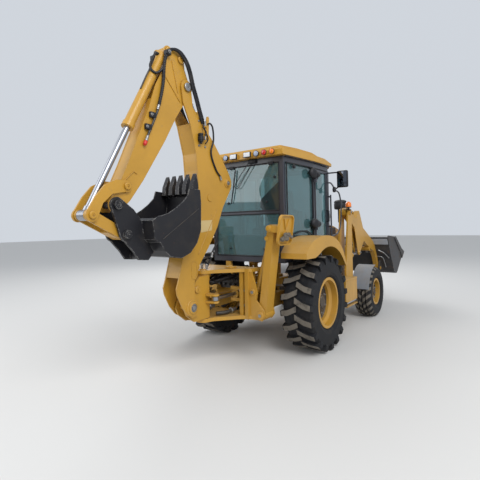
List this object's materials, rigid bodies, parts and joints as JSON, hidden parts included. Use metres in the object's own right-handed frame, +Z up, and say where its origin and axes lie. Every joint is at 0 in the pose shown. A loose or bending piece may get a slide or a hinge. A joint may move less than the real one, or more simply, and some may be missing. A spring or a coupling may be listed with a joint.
{
  "type": "backhoe loader",
  "caption": "Backhoe loader with a closed cab, a front loader bucket on two lift arms, and a folded centre-pivot backhoe with stabilizers at the rear.",
  "frame": {"origin": "on the ground, under the middle of the machine's overall box", "axes": "+X forward to the loader bucket, +Y to the left, +Z up"},
  "size_m": [7.5476, 2.166, 3.748],
  "materials": {
    "body_paint": "semi-gloss construction yellow",
    "frame_black": "satin black",
    "dark_steel": "matte charcoal, worn",
    "engine_grey": "matte dark grey",
    "chrome_rod": "polished",
    "tyre": "dusty rubber",
    "tinted_glass": "tinted",
    "trim_plastic": "matte"
  },
  "bodies": {
    "machine": {"chassis": "body_paint", "loader_towers": "body_paint", "rear_frame": "body_paint", "engine": "engine_grey", "hood": "body_paint", "grille": "frame_black", "side_boxes": "body_paint", "axles": "frame_black", "rear_fenders": "body_paint", "cab_frame": "frame_black", "cab_posts": "frame_black", "cab_top": "frame_black", "mirrors": "frame_black", "cab_roof": "body_paint", "cab_glass": "tinted_glass", "cab_interior": "trim_plastic", "swing_barrels": "body_paint"},
    "door_l": {"door_l": "frame_black", "door_l_glass": "tinted_glass"},
    "door_r": {"door_r": "frame_black", "door_r_glass": "tinted_glass"},
    "knuckle_l": {"knuckle_l": "frame_black"},
    "knuckle_r": {"knuckle_r": "frame_black"},
    "wheel_front_l": {"tyre_front_l": "tyre", "rim_front_l": "body_paint"},
    "wheel_front_r": {"tyre_front_r": "tyre", "rim_front_r": "body_paint"},
    "wheel_rear_l": {"tyre_rear_l": "tyre", "rim_rear_l": "body_paint"},
    "wheel_rear_r": {"tyre_rear_r": "tyre", "rim_rear_r": "body_paint"},
    "loader_arms": {"loader_arms": "body_paint"},
    "loader_bucket": {"loader_bucket": "dark_steel"},
    "lift_barrels": {"lift_barrels": "body_paint"},
    "lift_rods": {"lift_rods": "chrome_rod"},
    "tilt_barrels": {"tilt_barrels": "body_paint"},
    "tilt_rods": {"tilt_rods": "chrome_rod"},
    "swing_post": {"swing_post": "body_paint"},
    "swing_rod_l": {"swing_rod_l": "chrome_rod"},
    "swing_rod_r": {"swing_rod_r": "chrome_rod"},
    "boom": {"boom": "body_paint"},
    "boom_barrel": {"boom_barrel": "body_paint"},
    "boom_rod": {"boom_rod": "chrome_rod"},
    "stick": {"stick": "body_paint"},
    "stick_barrel": {"stick_barrel": "body_paint"},
    "stick_rod": {"stick_rod": "chrome_rod"},
    "hoe_rocker": {"hoe_rocker": "body_paint"},
    "hoe_link": {"hoe_link": "body_paint"},
    "hoe_bucket": {"hoe_bucket": "dark_steel"},
    "hoe_barrel": {"hoe_barrel": "body_paint"},
    "hoe_rod": {"hoe_rod": "chrome_rod"},
    "stabilizer_l": {"stabilizer_l": "body_paint"},
    "stab_pad_l": {"stab_pad_l": "body_paint"},
    "stab_barrel_l": {"stab_barrel_l": "body_paint"},
    "stab_rod_l": {"stab_rod_l": "chrome_rod"},
    "stabilizer_r": {"stabilizer_r": "body_paint"},
    "stab_pad_r": {"stab_pad_r": "body_paint"},
    "stab_barrel_r": {"stab_barrel_r": "body_paint"},
    "stab_rod_r": {"stab_rod_r": "chrome_rod"}
  },
  "joints": [
    {"name": "steer_l", "type": "hinge", "parent": "machine", "child": "knuckle_l", "pos_m": [1.65, 0.69, 0.46], "axis": [0, 0, 1], "range_deg": [-28, 28]},
    {"name": "wheel_front_l_spin", "type": "hinge", "parent": "knuckle_l", "child": "wheel_front_l", "pos_m": [1.65, 0.88, 0.46], "axis": [0, 1, 0], "continuous": true},
    {"name": "wheel_rear_l_spin", "type": "hinge", "parent": "machine", "child": "wheel_rear_l", "pos_m": [-0.7, 0.858, 0.65], "axis": [0, 1, 0], "continuous": true},
    {"name": "door_l_hinge", "type": "hinge", "parent": "machine", "child": "door_l", "pos_m": [-0.32, 0.724, 1.65], "axis": [0, 0, 1], "range_deg": [0, 60]},
    {"name": "steer_r", "type": "hinge", "parent": "machine", "child": "knuckle_r", "pos_m": [1.65, -0.69, 0.46], "axis": [0, 0, 1], "range_deg": [-28, 28]},
    {"name": "wheel_front_r_spin", "type": "hinge", "parent": "knuckle_r", "child": "wheel_front_r", "pos_m": [1.65, -0.88, 0.46], "axis": [0, 1, 0], "continuous": true},
    {"name": "wheel_rear_r_spin", "type": "hinge", "parent": "machine", "child": "wheel_rear_r", "pos_m": [-0.7, -0.858, 0.65], "axis": [0, 1, 0], "continuous": true},
    {"name": "door_r_hinge", "type": "hinge", "parent": "machine", "child": "door_r", "pos_m": [-0.32, -0.724, 1.65], "axis": [0, 0, -1], "range_deg": [0, 60]},
    {"name": "loader_lift", "type": "hinge", "parent": "machine", "child": "loader_arms", "pos_m": [0.88, 0, 1.95], "axis": [0, -1, 0], "range_deg": [-15, 65]},
    {"name": "lift_barrels_swing", "type": "hinge", "parent": "machine", "child": "lift_barrels", "pos_m": [0.1, 0, 1.06], "axis": [0, -1, 0], "range_deg": [-6.28, 26.56]},
    {"name": "lift_rods_slide", "type": "slide", "parent": "lift_barrels", "child": "lift_rods", "axis": [0.9947, 0, 0.1032], "range_m": [-0.1681, 0.7218]},
    {"name": "loader_bucket_tilt", "type": "hinge", "parent": "loader_arms", "child": "loader_bucket", "pos_m": [2.7, 0, 0.79], "axis": [0, 1, 0], "range_deg": [0, 100]},
    {"name": "tilt_barrels_swing", "type": "hinge", "parent": "loader_arms", "child": "tilt_barrels", "pos_m": [1.5, 0, 1.95], "axis": [0, -1, 0], "range_deg": [0, 13.83]},
    {"name": "tilt_rods_slide", "type": "slide", "parent": "tilt_barrels", "child": "tilt_rods", "axis": [0.7649, 0, -0.6441], "range_m": [0, 0.6185]},
    {"name": "hoe_swing", "type": "hinge", "parent": "machine", "child": "swing_post", "pos_m": [-2.12, 0, 1], "axis": [0, 0, 1], "range_deg": [-90, 90]},
    {"name": "swing_rod_l_slide", "type": "slide", "parent": "machine", "child": "swing_rod_l", "axis": [1, 0, 0], "range_m": [-0.1764, 0.1764]},
    {"name": "swing_rod_r_slide", "type": "slide", "parent": "machine", "child": "swing_rod_r", "axis": [1, 0, 0], "range_m": [-0.1764, 0.1764]},
    {"name": "boom_lower", "type": "hinge", "parent": "swing_post", "child": "boom", "pos_m": [-2.43, 0, 0.79], "axis": [0, -1, 0], "range_deg": [0, 95]},
    {"name": "boom_barrel_swing", "type": "hinge", "parent": "swing_post", "child": "boom_barrel", "pos_m": [-2.32, 0, 0.98], "axis": [0, -1, 0], "range_deg": [0, 102.5]},
    {"name": "boom_rod_slide", "type": "slide", "parent": "boom_barrel", "child": "boom_rod", "axis": [0.1961, 0, 0.9806], "range_m": [0, 0.2822]},
    {"name": "stick_crowd", "type": "hinge", "parent": "boom", "child": "stick", "pos_m": [-2.49, 0, 3.35], "axis": [0, 1, 0], "range_deg": [0, 110]},
    {"name": "stick_barrel_swing", "type": "hinge", "parent": "boom", "child": "stick_barrel", "pos_m": [-1.75, 0, 2.29], "axis": [0, -1, 0], "range_deg": [-12.04, 0]},
    {"name": "stick_rod_slide", "type": "slide", "parent": "stick_barrel", "child": "stick_rod", "axis": [-0.5163, 0, 0.8564], "range_m": [-0.438, 0]},
    {"name": "hoe_bucket_curl", "type": "hinge", "parent": "stick", "child": "hoe_bucket", "pos_m": [-3.452, 0, 1.942], "axis": [0, 1, 0], "range_deg": [0, 150]},
    {"name": "rocker_swing", "type": "hinge", "parent": "stick", "child": "hoe_rocker", "pos_m": [-3.339, 0, 2.125], "axis": [0, -1, 0], "range_deg": [-92.34, 0]},
    {"name": "link_swing", "type": "hinge", "parent": "hoe_rocker", "child": "hoe_link", "pos_m": [-3.71, 0, 1.84], "axis": [0, -1, 0], "range_deg": [0, 7.82]},
    {"name": "hoe_barrel_swing", "type": "hinge", "parent": "stick", "child": "hoe_barrel", "pos_m": [-2.755, 0, 3.69], "axis": [0, -1, 0], "range_deg": [-11.47, 0]},
    {"name": "hoe_rod_slide", "type": "slide", "parent": "hoe_barrel", "child": "hoe_rod", "axis": [-0.4587, 0, -0.8886], "range_m": [-0.5899, 0]},
    {"name": "stabilizer_l_lower", "type": "hinge", "parent": "machine", "child": "stabilizer_l", "pos_m": [-1.615, 0.59, 0.62], "axis": [-1, 0, 0], "range_deg": [0, 109]},
    {"name": "stab_pad_l_tilt", "type": "hinge", "parent": "stabilizer_l", "child": "stab_pad_l", "pos_m": [-1.615, 0.74031, 1.68949], "axis": [1, 0, 0], "range_deg": [0, 35]},
    {"name": "stab_barrel_l_swing", "type": "hinge", "parent": "machine", "child": "stab_barrel_l", "pos_m": [-1.615, 0.48, 0.9], "axis": [1, 0, 0], "range_deg": [-107.97, 0]},
    {"name": "stab_rod_l_slide", "type": "slide", "parent": "stab_barrel_l", "child": "stab_rod_l", "axis": [0, 0.2926, 0.9562], "range_m": [0, 0.4915]},
    {"name": "stabilizer_r_lower", "type": "hinge", "parent": "machine", "child": "stabilizer_r", "pos_m": [-1.615, -0.59, 0.62], "axis": [1, 0, 0], "range_deg": [0, 109]},
    {"name": "stab_pad_r_tilt", "type": "hinge", "parent": "stabilizer_r", "child": "stab_pad_r", "pos_m": [-1.615, -0.74031, 1.68949], "axis": [-1, 0, 0], "range_deg": [0, 35]},
    {"name": "stab_barrel_r_swing", "type": "hinge", "parent": "machine", "child": "stab_barrel_r", "pos_m": [-1.615, -0.48, 0.9], "axis": [-1, 0, 0], "range_deg": [-107.97, 0]},
    {"name": "stab_rod_r_slide", "type": "slide", "parent": "stab_barrel_r", "child": "stab_rod_r", "axis": [0, -0.2926, 0.9562], "range_m": [0, 0.4915]}
  ],
  "couplings": [
    {"joint": "steer_r", "follows": "steer_l", "ratio": 1},
    {"joint": "lift_barrels_swing", "follows": "loader_lift", "ratio": 0.4056},
    {"joint": "lift_rods_slide", "follows": "loader_lift", "m_per_rad": 0.63446},
    {"joint": "tilt_barrels_swing", "follows": "loader_bucket_tilt", "ratio": 0.13629},
    {"joint": "tilt_rods_slide", "follows": "loader_bucket_tilt", "m_per_rad": 0.35325},
    {"joint": "swing_rod_l_slide", "follows": "hoe_swing", "m_per_rad": -0.111},
    {"joint": "swing_rod_r_slide", "follows": "hoe_swing", "m_per_rad": 0.111},
    {"joint": "boom_barrel_swing", "follows": "boom_lower", "ratio": 1.0769},
    {"joint": "boom_rod_slide", "follows": "boom_lower", "m_per_rad": 0.16897},
    {"joint": "stick_barrel_swing", "follows": "stick_crowd", "ratio": -0.10766},
    {"joint": "stick_rod_slide", "follows": "stick_crowd", "m_per_rad": -0.22711},
    {"joint": "rocker_swing", "follows": "hoe_bucket_curl", "ratio": -0.61429},
    {"joint": "link_swing", "follows": "hoe_bucket_curl", "ratio": 0.05081},
    {"joint": "hoe_barrel_swing", "follows": "hoe_bucket_curl", "ratio": -0.07516},
    {"joint": "hoe_rod_slide", "follows": "hoe_bucket_curl", "m_per_rad": -0.22456},
    {"joint": "stab_barrel_l_swing", "follows": "stabilizer_l_lower", "ratio": -0.9887},
    {"joint": "stab_rod_l_slide", "follows": "stabilizer_l_lower", "m_per_rad": 0.2573},
    {"joint": "stab_barrel_r_swing", "follows": "stabilizer_r_lower", "ratio": -0.9887},
    {"joint": "stab_rod_r_slide", "follows": "stabilizer_r_lower", "m_per_rad": 0.2573}
  ]
}
